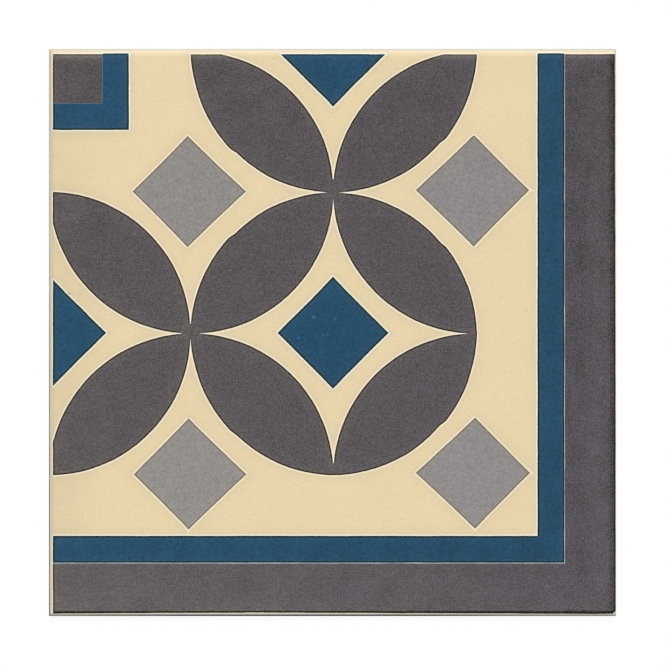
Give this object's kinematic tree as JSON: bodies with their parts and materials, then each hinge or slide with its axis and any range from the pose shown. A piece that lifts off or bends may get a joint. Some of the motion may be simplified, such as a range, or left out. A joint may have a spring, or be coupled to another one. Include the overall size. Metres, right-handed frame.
{
  "type": "corner floor tile",
  "caption": "Square glazed ceramic floor tile with a printed circle-petal and diamond pattern and a two-colour border turning a corner; keyed back, rolled front edges.",
  "frame": {"origin": "middle of the back plane, which the tops of the back ribs lie in", "axes": "+Z out of the glazed face, +X to one border edge and -Y to the other, so that the pattern runs on past the -X and +Y edges"},
  "size_m": [0.298, 0.298, 0.009],
  "materials": {
    "glazed_body": "satin cream glaze with charcoal, blue and light grey print, over a pale bisque body"
  },
  "bodies": {
    "root": {"corner_tile": "glazed_body"}
  },
  "joints": []
}
